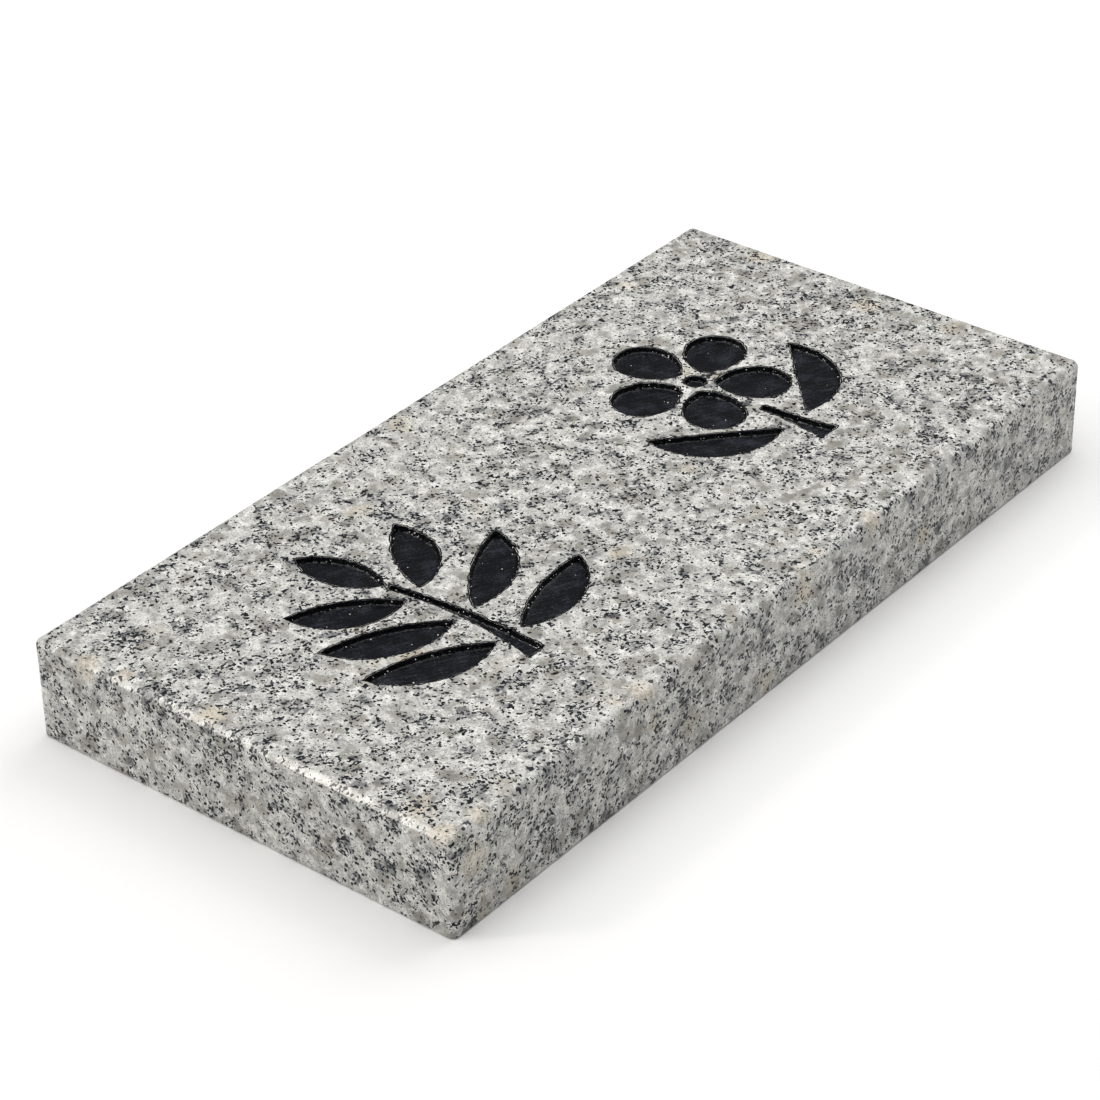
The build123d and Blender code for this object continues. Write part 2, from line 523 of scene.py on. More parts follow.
@dataclass(frozen=True)
class StoneFinish:
    """How one surface of the stone was worked: its gloss, its pits and its scratches."""

    name: str
    gloss: float
    mica_gloss: float
    pit_depth: float
    line_depth: float
    specular: float = 0.13
    line_spacing: float = 0.25 * MM
    line_length: float = 30.0
    smear_size: float = 18 * MM
    smear_gloss: float = 0.04

    def build(self, body: bpy.types.NodeTree, hairlines: bpy.types.NodeTree) -> bpy.types.Material:
        """Builds the material.

        Args:
            body: the group that colours the granite.
            hairlines: the group of fine scratches.

        Returns:
            The material.
        """
        tree = MaterialTree(self.name)
        place = tree.here()
        stone = tree.lay(body, {"Vector": place})
        lines_inputs = {"Vector": place, "Spacing": self.line_spacing, "Length": self.line_length}
        lines = tree.lay(hairlines, lines_inputs)[0]
        smeared = tree.noise(place, self.smear_size)
        smear = tree.ramp(smeared, 0.3, 0.7, -self.smear_gloss, self.smear_gloss)
        polish = tree.ramp(stone["Mica"], 0.0, 1.0, self.gloss, self.mica_gloss)
        rough = tree.math("ADD", polish, smear, clamp=True)
        marked = tree.bump(lines, self.line_depth, tree.bump(stone["Height"], self.pit_depth))
        return tree.finish({"Base Color": stone["Colour"], "Roughness": rough, "Normal": marked,
                            "Specular IOR Level": self.specular, "IOR": 1.52})


@dataclass(frozen=True)
class Enamel:
    """Black enamel paint: satin and faintly brushed on the floors, with painted sheen in their lighter
    patches, glossy on the walls.
    """

    floor: Colour = (0.0015, 0.0018, 0.0035, 1.0)
    # The floors' lighter colour: partly wear, dust and brush marks, partly painted sheen that stands for
    # soft reflections on the satin enamel.
    floor_worn_and_sheen: Colour = (0.026, 0.029, 0.040, 1.0)
    wall: Colour = (0.0025, 0.0028, 0.004, 1.0)
    floor_roughness: float = 0.34
    wall_roughness: float = 0.25
    specular: float = 0.1
    wall_coat: float = 1.0
    floor_coat: float = 0.05
    coat_roughness: float = 0.08
    brush_turn: float = 0.5
    brush_spacing: float = 0.35 * MM
    brush_length: float = 14.0
    brush_depth: float = 0.03 * MM
    peel_size: float = 0.7 * MM
    peel_depth: float = 0.07 * MM
    blotch_size: float = 4 * MM
    dust_size: float = 0.45 * MM

    def build(self, hairlines: bpy.types.NodeTree, face_level: float) -> bpy.types.Material:
        """Builds the material.

        Args:
            hairlines: the group of fine brush lines.
            face_level: the height of the stone's face, where the lips lie.

        Returns:
            The material.
        """
        tree = MaterialTree("black_enamel")
        place = tree.here((0.0, 0.0, self.brush_turn))
        height = tree.split(place)[2]
        below_lip = tree.ramp(height, face_level - 0.25 * MM, face_level - 0.05 * MM, 1.0, 0.0)
        facing = tree.add("ShaderNodeNewGeometry").outputs["True Normal"]
        level = tree.ramp(tree.split(facing)[2], 0.7, 0.96)
        lines_inputs = {"Vector": place, "Spacing": self.brush_spacing, "Length": self.brush_length}
        lines = tree.lay(hairlines, lines_inputs)[0]
        # The lighter floor patches are wear, dust and brush lines and also painted sheen: soft
        # reflections painted into the floor colour.
        blotch = tree.ramp(tree.noise(place, self.blotch_size, 3.0), 0.35, 0.7)
        dust = tree.ramp(tree.noise(place, self.dust_size), 0.4, 0.75)
        smudged = tree.math("MULTIPLY_ADD", dust, 0.55, tree.math("MULTIPLY", blotch, 0.5))
        wear_and_sheen = tree.ramp(tree.math("MULTIPLY_ADD", lines, 0.45, smudged), 0.25, 1.15)
        floor = tree.mix(wear_and_sheen, self.floor, self.floor_worn_and_sheen)
        colour = tree.mix(tree.math("MULTIPLY", level, below_lip), self.wall, floor)
        rough_floor = tree.math("MULTIPLY_ADD", wear_and_sheen, 0.2, self.floor_roughness)
        span = tree.math("SUBTRACT", rough_floor, self.wall_roughness)
        rough = tree.math("MULTIPLY_ADD", level, span, self.wall_roughness)
        peel = tree.noise(place, self.peel_size)
        uneven = tree.bump(peel, self.peel_depth, tree.bump(lines, self.brush_depth))
        coat = tree.ramp(level, 0.0, 1.0, self.wall_coat, self.floor_coat)
        return tree.finish({
            "Base Color": colour, "Roughness": rough, "Specular IOR Level": self.specular, "IOR": 1.5,
            "Normal": uneven, "Coat Weight": coat, "Coat Roughness": self.coat_roughness})


@dataclass(frozen=True)
class CrumbsAndGlints:
    """Pale crumbs of broken feldspar caught in the wet paint, which also serve as painted glints: bright
    specks for the highlights on the glossy enamel walls.
    """

    light: Colour = (0.86, 0.85, 0.82, 1.0)
    dark: Colour = (0.45, 0.44, 0.42, 1.0)
    roughness: float = 0.4
    mottling_size: float = 0.6 * MM

    def build(self) -> bpy.types.Material:
        """Builds the material.

        Returns:
            The material.
        """
        tree = MaterialTree("feldspar_crumbs")
        mottling = tree.ramp(tree.noise(tree.here(), self.mottling_size), 0.4, 0.55)
        colour = tree.mix(mottling, self.dark, self.light)
        return tree.finish({"Base Color": colour, "Roughness": self.roughness})


# ---- outlines and meshes ----


def put_in_scene(name: str, data: bpy.types.ID) -> bpy.types.Object:
    """Makes an object and puts it in the scene.

    Args:
        name: the object's name.
        data: its mesh, its light or its camera.

    Returns:
        The object.
    """
    thing = bpy.data.objects.new(name, data)
    bpy.context.scene.collection.objects.link(thing)
    return thing


def roughness_at(points: np.ndarray, size: float, seed: float) -> np.ndarray:
    """Samples smooth random values between about -1 and 1.

    Args:
        points: places, one to a row, in metres.
        size: how far apart the hills are, in metres.
        seed: which random field.

    Returns:
        One value for each place.
    """
    places = np.zeros((len(points), 3))
    places[:, : points.shape[1]] = points / size
    return np.array([noise.noise(Vector(p) + Vector((seed, 2 * seed, -seed))) for p in places])


def inside_loop(points: np.ndarray, loop: np.ndarray) -> np.ndarray:
    """Finds which points lie inside a closed loop.

    Args:
        points: the points, one to a row.
        loop: the loop.

    Returns:
        Whether each point is inside.
    """
    after = np.roll(loop, -1, axis=0)
    inside = np.zeros(len(points), bool)
    for (x0, y0), (x1, y1) in zip(loop, after):
        if y0 != y1:
            crosses = (points[:, 1] < y0) != (points[:, 1] < y1)
            inside ^= crosses & (points[:, 0] < (x1 - x0) * (points[:, 1] - y0) / (y1 - y0) + x0)
    return inside


def signed_area(loop: np.ndarray) -> float:
    """Returns a closed loop's area, positive where it runs anticlockwise."""
    after = np.roll(loop, -1, axis=0)
    return float(np.sum(loop[:, 0] * after[:, 1] - after[:, 0] * loop[:, 1]) / 2)


def cross(first: np.ndarray, second: np.ndarray) -> np.ndarray:
    """Returns the cross product of flat vectors, row by row."""
    return first[..., 0] * second[..., 1] - first[..., 1] * second[..., 0]


def fill_flat(loops: list[np.ndarray], inner: np.ndarray) -> list[tuple[int, int, int]]:
    """Fills a flat region with triangles.

    Args:
        loops: the outer loop, and then the loops of its holes.
        inner: further points inside the region.

    Returns:
        Triangles that run anticlockwise, as numbers into the loops' and inner points put end to end.
    """
    points = np.vstack([*loops, inner]) if len(inner) else np.vstack(loops)
    edges, first = [], 0
    for loop in loops:
        numbers = list(range(first, first + len(loop)))
        edges += list(zip(numbers, numbers[1:] + numbers[:1]))
        first += len(loop)
    in_mm = [Vector(p) for p in points / MM]
    made, _, faces, sources, _, _ = delaunay_2d_cdt(in_mm, edges, [], 0, 1e-6)
    source = [s[0] if s else -1 for s in sources]
    triangles = np.array([[source[v] for v in face] for face in faces if len(face) == 3])
    triangles = triangles[(triangles >= 0).all(axis=1)]
    centres = points[triangles].mean(axis=1)
    keep = inside_loop(centres, loops[0])
    for hole in loops[1:]:
        near = keep & (centres >= hole.min(0)).all(axis=1) & (centres <= hole.max(0)).all(axis=1)
        keep[near] = ~inside_loop(centres[near], hole)
    triangles = triangles[keep]
    a, b, c = (points[triangles[:, k]] for k in range(3))
    clockwise = cross(b - a, c - a) < 0
    triangles[clockwise] = triangles[clockwise][:, ::-1]
    return [tuple(int(v) for v in triangle) for triangle in triangles]


def grid_inside(loops: list[np.ndarray], pitch: float, clearance: float) -> np.ndarray:
    """Spreads points over a flat region, clear of its borders.

    Args:
        loops: the outer loop, and then the loops of its holes.
        pitch: how far apart the points are.
        clearance: how far they stay from every loop.

    Returns:
        The points, one to a row.
    """
    low, high = loops[0].min(0), loops[0].max(0)
    xs, ys = (np.arange(low[k] + pitch / 2, high[k], pitch) for k in (0, 1))
    points = np.array([(x, y) for x in xs for y in ys])
    if not len(points):
        return np.zeros((0, 2))
    keep = inside_loop(points, loops[0])
    for hole in loops[1:]:
        keep &= ~inside_loop(points, hole)
    border = np.vstack(loops)
    points = points[keep]
    gaps = np.array([np.min(np.hypot(*(border - p).T)) for p in points])
    return points[gaps > clearance] if len(points) else points


@dataclass
class MeshParts:
    """A mesh in the making: rings of vertices, the bands between them and the flats that close them."""

    places: list = field(default_factory=list)
    faces: list = field(default_factory=list)
    finishes: list = field(default_factory=list)

    def ring(self, outline: np.ndarray, height: np.ndarray | float) -> list[int]:
        """Adds a ring of vertices.

        Args:
            outline: their places from above.
            height: their one height, or the height of each.

        Returns:
            Their numbers.
        """
        first = len(self.places)
        heights = np.broadcast_to(height, len(outline))
        self.places += [(float(x), float(y), float(z)) for (x, y), z in zip(outline, heights)]
        return list(range(first, len(self.places)))

    def band(self, lower: list[int], upper: list[int], finish: int = 0) -> None:
        """Joins two rings that run anticlockwise, so that the band faces outwards.

        Args:
            lower: the ring that the band starts from.
            upper: the ring that it ends at.
            finish: the number of its material.
        """
        count = len(lower)
        for k in range(count):
            after = (k + 1) % count
            self.faces.append((lower[k], lower[after], upper[after], upper[k]))
            self.finishes.append(finish)

    def flat(self, loops: list[list[int]], inner: list[int], upwards: bool, finish: int = 0) -> None:
        """Closes a flat region between rings.

        Args:
            loops: the outer ring and then the rings of its holes.
            inner: further vertices inside it.
            upwards: whether the flat faces up.
            finish: the number of its material.
        """
        flat_places = np.array(self.places)[:, :2]
        numbers = [n for loop in loops for n in loop] + list(inner)
        inner_points = flat_places[inner] if inner else np.zeros((0, 2))
        for triangle in fill_flat([flat_places[loop] for loop in loops], inner_points):
            corners = tuple(numbers[t] for t in triangle)
            self.faces.append(corners if upwards else corners[::-1])
            self.finishes.append(finish)

    def build(self, name: str, materials: list[bpy.types.Material], crease: float) -> bpy.types.Object:
        """Makes the object.

        Args:
            name: the object's name.
            materials: what its finishes are made of.
            crease: the angle in degrees past which an edge is sharp.

        Returns:
            The object, at the origin.
        """
        mesh = bpy.data.meshes.new(name)
        mesh.from_pydata(self.places, [], self.faces)
        for material in materials:
            mesh.materials.append(material)
        mesh.polygons.foreach_set("material_index", self.finishes)
        mesh.polygons.foreach_set("use_smooth", [True] * len(mesh.polygons))
        mesh.set_sharp_from_angle(angle=math.radians(crease))
        mesh.validate()
        mesh.update()
        return put_in_scene(name, mesh)


@dataclass
class Stroke:
    """One carved stroke: its ragged rim on the stone's face, and how wide it is inside that."""

    name: str
    rim: np.ndarray
    inward: np.ndarray
    room: np.ndarray
    floor_level: float
    face_level: float
    seed: float

    point_spacing = 0.22 * MM
    corner_turn = math.radians(30)
    wobble = (2.6 * MM, 0.07 * MM)
    grit = (0.7 * MM, 0.14 * MM)
    bite = (1.0 * MM, 1.0 * MM)
    bite_rarity = 0.28

    @classmethod
    def from_node(cls, name: str, face_level: float, seed: float) -> "Stroke":
        """Reads a stroke from the CAD solid of its enamel.

        Args:
            name: the CAD node.
            face_level: the height of the stone's face.
            seed: which random chips its rim has.

        Returns:
            The stroke.
        """
        outline, floor_level = cls.read_outline(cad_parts[name])
        smooth = cls.space_evenly(outline)
        inward = cls.inward_of(smooth)
        (wobble_size, wobble), (grit_size, grit), (bite_size, bite) = cls.wobble, cls.grit, cls.bite
        outward = roughness_at(smooth, wobble_size, seed) * wobble
        outward += roughness_at(smooth, grit_size, seed + 11) * grit
        bitten = roughness_at(smooth, bite_size, seed + 23) - cls.bite_rarity
        outward += np.clip(bitten, 0, None) * bite
        rim = smooth - inward * outward[:, None]
        inward = cls.inward_of(rim)
        return cls(name, rim, inward, cls.room_of(rim, inward), floor_level, face_level, seed)

    @staticmethod
    def read_outline(node: bpy.types.Object) -> tuple[np.ndarray, float]:
        """Finds the outline of a solid's underside.

        Args:
            node: the CAD node's object.

        Returns:
            The outline, anticlockwise, and its height.
        """
        mesh = node.data
        mesh.calc_loop_triangles()
        places = np.array([v.co for v in mesh.vertices])
        low = places[:, 2].min()
        keys = [tuple(np.round(p / (0.0005 * MM)).astype(int)) for p in places]
        follows, place_of = {}, {}
        for triangle in mesh.loop_triangles:
            corners = list(triangle.vertices)
            if max(places[c, 2] for c in corners) > low + 0.001 * MM:
                continue
            for a, b in zip(corners, corners[1:] + corners[:1]):
                place_of[keys[a]] = places[a, :2]
                follows.setdefault(keys[a], set()).add(keys[b])
        border = {a: b for a, after in follows.items() for b in after if a not in follows.get(b, ())}
        start = next(iter(border))
        loop, at = [start], border[start]
        while at != start:
            loop.append(at)
            at = border[at]
        outline = np.array([place_of[k] for k in loop])
        return (outline if signed_area(outline) > 0 else outline[::-1]), float(low)

    @classmethod
    def space_evenly(cls, outline: np.ndarray) -> np.ndarray:
        """Spaces an outline's points evenly between its corners, which stay.

        Args:
            outline: the outline.

        Returns:
            The outline with its new points.
        """
        before, after = np.roll(outline, 1, axis=0), np.roll(outline, -1, axis=0)
        into, away = outline - before, after - outline
        turn = np.arctan2(cross(into, away), np.sum(into * away, axis=1))
        corners = [int(k) for k in np.flatnonzero(np.abs(turn) > cls.corner_turn)] or [0]
        runs = []
        for first, last in zip(corners, corners[1:] + [corners[0] + len(outline)]):
            run = outline[np.arange(first, last + 1) % len(outline)]
            lengths = np.concatenate([[0], np.cumsum(np.hypot(*np.diff(run, axis=0).T))])
            count = max(2, round(lengths[-1] / cls.point_spacing))
            stops = np.linspace(0, lengths[-1], count, endpoint=False)
            runs.append(np.column_stack([np.interp(stops, lengths, run[:, k]) for k in (0, 1)]))
        return np.vstack(runs)

    @staticmethod
    def inward_of(outline: np.ndarray) -> np.ndarray:
        """Finds which way leads into a stroke.

        Args:
            outline: the stroke's outline, anticlockwise.

        Returns:
            The unit vector into the stroke at each point.
        """
        chord = np.roll(outline, -1, axis=0) - np.roll(outline, 1, axis=0)
        left = np.column_stack([-chord[:, 1], chord[:, 0]])
        return left / np.hypot(*left.T)[:, None]

    @staticmethod
    def room_of(outline: np.ndarray, inward: np.ndarray) -> np.ndarray:
        """Finds how much room a stroke has.

        Args:
            outline: the stroke's outline.
            inward: the unit vector into the stroke at each point.

        Returns:
            The radius of the largest circle inside the stroke that touches each point.
        """
        to_others = outline[None, :, :] - outline[:, None, :]
        ahead = np.einsum("ijk,ik->ij", to_others, inward)
        squares = np.sum(to_others**2, axis=2)
        with np.errstate(divide="ignore", invalid="ignore"):
            radii = np.where(ahead > 1e-9, squares / (2 * ahead), np.inf)
        return radii.min(axis=1)

    def inset(self, depth: float, lumps: float = 0.0, lump_size: float = 0.5 * MM) -> np.ndarray:
        """Moves the rim into the stroke, and less where the stroke is narrow.

        Args:
            depth: how far.
            lumps: how uneven the result is.
            lump_size: how wide the lumps are.

        Returns:
            The moved outline.
        """
        uneven = roughness_at(self.rim, lump_size, self.seed + 1000 * depth / MM) * lumps
        far = np.clip(depth + uneven, 0.0, None)
        calm = np.minimum(far, 0.75 * self.room)
        return self.rim + self.inward * calm[:, None]


# ---- the pieces ----


@dataclass(frozen=True)
class RubbedEdge:
    """How far one edge of the face was rubbed back and down, and how flat it came out, from 0 to 1."""

    run_in: float
    drop: float
    flatness: float = 0.2


@dataclass
class StoneSlab:
    """The granite slab, with its edges rubbed by hand and a recess for every stroke."""

    strokes: list[Stroke]
    low: Vector = field(default_factory=lambda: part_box(STONE_NODE)[0])
    high: Vector = field(default_factory=lambda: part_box(STONE_NODE)[1])
    corner_radius: float = 1.6 * MM
    edges: dict[Side, RubbedEdge] = field(default_factory=lambda: {
        Side.LEFT_END: RubbedEdge(1.1 * MM, 1.0 * MM, flatness=0.96),
        Side.RIGHT_END: RubbedEdge(1.3 * MM, 1.3 * MM),
        Side.LOWER: RubbedEdge(1.7 * MM, 1.6 * MM),
        Side.UPPER: RubbedEdge(1.3 * MM, 1.2 * MM)})
    back_chamfer: float = 0.5 * MM
    back_steps: tuple = ((1.0, 0.0), (0.55, 0.2), (0.2, 0.55), (0.0, 1.0))
    point_pitch: float = 1.4 * MM
    corner_points: int = 14
    edge_rings: int = 9
    side_rings: int = 5
    hand_reach: float = 14 * MM
    hand_waver: float = 0.08 * MM
    side_reach: float = 16 * MM
    side_waver: float = 0.03 * MM
    arris: float = 0.07 * MM
    grid_pitch: float = 3.5 * MM
    grid_clearance: float = 0.8 * MM
    polish_reach: float = 12 * MM
    polish_waver: float = 0.01 * MM
    dish: float = 0.03 * MM

    def outline(self) -> tuple[np.ndarray, np.ndarray]:
        """Lays out the slab's outline.

        Returns:
            The outline, anticlockwise, and the outward unit vector at each point.
        """
        half = np.array([(self.high.x - self.low.x) / 2, (self.high.y - self.low.y) / 2])
        centre = np.array([(self.high.x + self.low.x) / 2, (self.high.y + self.low.y) / 2])
        points, outward = [], []
        for quarter, (sx, sy) in enumerate(((1, 1), (-1, 1), (-1, -1), (1, -1))):
            pivot = centre + (half - self.corner_radius) * (sx, sy)
            for step in range(self.corner_points + 1):
                angle = math.radians(90 * (quarter + step / self.corner_points))
                away = np.array([math.cos(angle), math.sin(angle)])
                points.append(pivot + away * self.corner_radius)
                outward.append(away)
            straight = 2 * (half[quarter % 2] - self.corner_radius)
            along = np.array([-outward[-1][1], outward[-1][0]])
            steps = round(straight / self.point_pitch)
            start, away = points[-1], outward[-1]
            for step in range(1, steps):
                points.append(start + along * straight * step / steps)
                outward.append(away)
        return np.array(points), np.array(outward)

    def by_side(self, outward: np.ndarray, size: str) -> np.ndarray:
        """Gives each point of the outline its edge's named size, blended round the corners."""
        facing = {side: np.clip(outward @ np.array(side.value), 0, None) ** 2 for side in self.edges}
        return sum(facing[side] * getattr(edge, size) for side, edge in self.edges.items())

    def build(self, materials: list[bpy.types.Material]) -> bpy.types.Object:
        """Builds the slab.

        Args:
            materials: the finishes of the polished face, the sawn back and the rubbed edges.

        Returns:
            The slab.
        """
        parts = MeshParts()
        outline, outward = self.outline()
        waver = roughness_at(outline, self.hand_reach, 3.0) * self.hand_waver
        run_in = self.by_side(outward, "run_in") + waver
        drop = self.by_side(outward, "drop") + waver
        flatness = self.by_side(outward, "flatness")
        rings = []
        for inset, rise in self.back_steps:
            edge = outline - outward * self.back_chamfer * inset
            rings.append(parts.ring(edge, self.low.z + self.back_chamfer * rise))
        side_top = self.high.z - drop
        side_foot = self.low.z + self.back_chamfer
        for step in range(1, self.side_rings):
            level = side_foot + (side_top - side_foot) * step / self.side_rings
            hollows = roughness_at(np.column_stack([outline, level]), self.side_reach, 8.0)
            pulled = np.clip(hollows + 0.3, 0, 1) * self.side_waver
            rings.append(parts.ring(outline - outward * pulled[:, None], level))
        for step in range(self.edge_rings + 1):
            share = step / self.edge_rings
            angle = math.radians(90 * share)
            inwards = 1 - math.cos(angle) + flatness * (share - 1 + math.cos(angle))
            below = 1 - math.sin(angle) + flatness * (math.sin(angle) - share)
            edge = outline - outward * (run_in * inwards)[:, None]
            rings.append(parts.ring(edge, self.high.z - drop * below))
        for number, (lower, upper) in enumerate(zip(rings, rings[1:])):
            rubbed = number >= len(rings) - 1 - self.edge_rings
            parts.band(lower, upper, finish=2 if rubbed else 0)
        parts.flat([rings[0]], [], upwards=False, finish=1)
        self.carve(parts, rings[-1])
        slab = parts.build("granite_slab", materials, crease=32)
        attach(slab, BODY)
        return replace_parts(slab, STONE_NODE)

    def carve(self, parts: MeshParts, border: list[int]) -> None:
        """Closes the face round the recesses, and sinks each recess.

        Args:
            parts: the slab so far.
            border: the ring where the face begins.
        """
        mouths = []
        for stroke in self.strokes:
            rim = stroke.inset(0.0)
            mouth = parts.ring(rim - stroke.inward * self.arris, self.high.z - self.dish)
            lip = parts.ring(rim, self.high.z - self.dish - self.arris)
            foot = parts.ring(rim, stroke.floor_level)
            parts.band(mouth, lip)
            parts.band(lip, foot)
            parts.flat([foot], [], upwards=True)
            mouths.append(mouth)
        places = np.array(parts.places)[:, :2]
        loops = [places[border]] + [places[mouth] for mouth in mouths]
        spots = grid_inside(loops, self.grid_pitch, self.grid_clearance)
        dips = roughness_at(spots, self.polish_reach, 5.0) * self.polish_waver - self.dish
        inner = parts.ring(spots, self.high.z + dips)
        parts.flat([border, *mouths], inner, upwards=True)


@dataclass
class EnamelLining:
    """The enamel of one stroke: a lip lapped over the arris, lumpy walls and a brushed floor."""

    stroke: Stroke
    film: float = 0.3 * MM
    gap: float = 0.01 * MM
    tuck: float = 0.16 * MM
    lap: float = 0.33 * MM
    least_lap: float = 0.05 * MM
    lap_reach: float = 1.3 * MM
    lap_waver: float = 0.26 * MM
    lap_height: float = 0.004 * MM
    lip_height: float = 0.022 * MM
    floor_waver: float = 0.05 * MM
    floor_reach: float = 3.0 * MM
    ripple_reach: float = 1.1 * MM
    grid_pitch: float = 0.7 * MM
    grid_clearance: float = 0.35 * MM
    wall_steps: tuple = (
        (0.10, 0.05), (0.14, 0.14), (0.18, 0.32), (0.21, 0.52), (0.26, 0.72), (0.33, 0.86), (0.44, 0.95),
        (0.62, 1.0))
    lumps: float = 0.16 * MM

    def build(self, material: bpy.types.Material) -> bpy.types.Object:
        """Builds the lining.

        Args:
            material: the enamel.

        Returns:
            The lining.
        """
        stroke = self.stroke
        parts = MeshParts()
        under = parts.ring(stroke.inset(self.gap), stroke.floor_level + self.gap)
        parts.flat([under], [], upwards=False)
        last = self.lay_lip(parts, under)
        floor_top = stroke.floor_level + self.film
        depth = stroke.face_level - floor_top
        for inset, fall in self.wall_steps:
            lumps = self.lumps * min(1.0, 3 * fall)
            ring = parts.ring(stroke.inset(inset * MM, lumps), stroke.face_level - depth * fall)
            parts.band(last, ring)
            last = ring
        edge = np.array(parts.places)[last][:, :2]
        spots = grid_inside([edge], self.grid_pitch, self.grid_clearance)
        inner = []
        if len(spots):
            waver = roughness_at(spots, self.floor_reach, stroke.seed)
            waver = waver + 0.5 * roughness_at(spots, self.ripple_reach, 5.0)
            inner = parts.ring(spots, floor_top + waver * self.floor_waver)
        parts.flat([last], inner, upwards=True)
        lining = parts.build(f"enamel_{stroke.name}", [material], crease=50)
        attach(lining, BODY)
        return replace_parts(lining, stroke.name)

    def lay_lip(self, parts: MeshParts, under: list[int]) -> list[int]:
        """Runs the enamel up the wall and laps it over the arris.

        Args:
            parts: the lining so far.
            under: the ring round its underside.

        Returns:
            The ring at the top of the lip.
        """
        stroke = self.stroke
        uneven = roughness_at(stroke.rim, self.lap_reach, stroke.seed + 41) * self.lap_waver
        reach = np.clip(self.lap + uneven, self.least_lap, None)
        tucked = parts.ring(stroke.inset(self.gap), stroke.face_level - self.tuck)
        edge_at = stroke.rim - stroke.inward * reach[:, None]
        lapped = parts.ring(edge_at, stroke.face_level + self.lap_height)
        crest_at = stroke.rim - stroke.inward * (0.5 * reach)[:, None]
        crest = parts.ring(crest_at, stroke.face_level + self.lip_height)
        for lower, upper in ((under, tucked), (tucked, lapped), (lapped, crest)):
            parts.band(lower, upper)
        return crest


@dataclass(frozen=True)
class Scatter:
    """Small rounded lumps scattered over the walls and floors of the carving by Geometry Nodes."""

    name: str
    slot: Slot
    on_walls: float
    on_floors: float
    smallest: float
    largest: float
    seed: int

    def tree(self) -> tuple[bpy.types.NodeTree, dict[str, str]]:
        """Builds the tree.

        Returns:
            The tree, and the identifier of each of its named inputs.
        """
        kinds = {"Carving": "Geometry", "Per Wall Area": "Float", "Per Floor Area": "Float",
                 "Smallest": "Float", "Largest": "Float", "Seed": "Int", "Finish": "Material"}
        inputs = {label: (kind, None) for label, kind in kinds.items()}
        tree = GroupTree(self.name, inputs, {"Lumps": "Geometry"}, kind="GeometryNodeTree")
        given = tree.given
        facing = tree.add("GeometryNodeInputNormal").outputs[0]
        upright = tree.split(facing)[2]
        density_inputs = {"Value": upright, "From Min": 0.6, "From Max": 0.9,
                          "To Min": given["Per Wall Area"], "To Max": given["Per Floor Area"]}
        density = tree.add("ShaderNodeMapRange", density_inputs).outputs[0]
        spread_inputs = {"Mesh": given["Carving"], "Density": density, "Seed": given["Seed"]}
        spread = tree.add("GeometryNodeDistributePointsOnFaces", spread_inputs).outputs["Points"]
        lump = tree.add("GeometryNodeMeshIcoSphere", {"Radius": 1.0, "Subdivisions": 2}).outputs["Mesh"]
        size_inputs = {2: given["Smallest"], 3: given["Largest"], "Seed": given["Seed"]}
        sizes = tree.add("FunctionNodeRandomValue", size_inputs, data_type="FLOAT")
        laid_inputs = {"Points": spread, "Instance": lump, "Scale": sizes.outputs[1]}
        laid = tree.add("GeometryNodeInstanceOnPoints", laid_inputs).outputs[0]
        real = tree.add("GeometryNodeRealizeInstances", {0: laid}).outputs[0]
        soft = tree.add("GeometryNodeSetShadeSmooth", {0: real}).outputs[0]
        finish = {"Geometry": soft, "Material": given["Finish"]}
        done = tree.add("GeometryNodeSetMaterial", finish).outputs[0]
        return tree.finish({"Lumps": done}), tree.identifiers

    def build(self, linings: list[bpy.types.Object], material: bpy.types.Material) -> bpy.types.Object:
        """Builds the lumps.

        Args:
            linings: the enamel of every stroke.
            material: what the lumps are made of.

        Returns:
            All the lumps, as one plain mesh.
        """
        carrier = self.seen_faces(linings)
        group, names = self.tree()
        modifier = carrier.modifiers.new(self.name, "NODES")
        modifier.node_group = group
        values = {"Per Wall Area": self.on_walls, "Per Floor Area": self.on_floors,
                  "Smallest": self.smallest, "Largest": self.largest,
                  "Seed": self.seed, "Finish": material}
        for label, value in values.items():
            modifier[names[label]] = value
        carrier.update_tag()
        graph = bpy.context.evaluated_depsgraph_get()
        mesh = bpy.data.meshes.new_from_object(carrier.evaluated_get(graph), depsgraph=graph)
        mesh.name = self.name
        carrier.modifiers.clear()
        bpy.data.objects.remove(carrier)
        lumps = put_in_scene(self.name, mesh)
        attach(lumps, BODY)
        return lumps

    @staticmethod
    def seen_faces(linings: list[bpy.types.Object]) -> bpy.types.Object:
        """Makes one object of the faces of the linings that can be seen, below their lips.

        Args:
            linings: the enamel of every stroke.

        Returns:
            The object, which carries the lumps until they are made a mesh.
        """
        everything = bmesh.new()
        for lining in linings:
            everything.from_mesh(lining.data)
        low, high = (pick(v.co.z for v in everything.verts) for pick in (min, max))
        hidden = [f for f in everything.faces
                  if min(v.co.z for v in f.verts) < low + 0.05 * MM
                  or max(v.co.z for v in f.verts) > high - 0.2 * MM]
        bmesh.ops.delete(everything, geom=hidden, context="FACES")
        mesh = bpy.data.meshes.new("seen_enamel")
        everything.to_mesh(mesh)
        everything.free()
        return put_in_scene("seen_enamel", mesh)


# ---- the studio ----


@dataclass(frozen=True)
class SoftBox:
    """A square soft light that faces the plate."""

    name: str
    heading: float
    height: float
    distance: float
    size: float
    watts: float
    colour: tuple[float, float, float] = (1.0, 1.0, 1.0)

    def build(self, target: Vector) -> None:
        """Places the light; its heading is counted from +X towards +Y, and its height is an angle.

        Args:
            target: what the light faces.
        """
        lamp = bpy.data.lights.new(self.name, "AREA")
        lamp.shape, lamp.size, lamp.energy, lamp.color = "SQUARE", self.size, self.watts, self.colour
        light = put_in_scene(self.name, lamp)
        away = direction(self.heading, self.height)
        light.location = target + away * self.distance
        light.rotation_euler = away.to_track_quat("Z", "Y").to_euler()


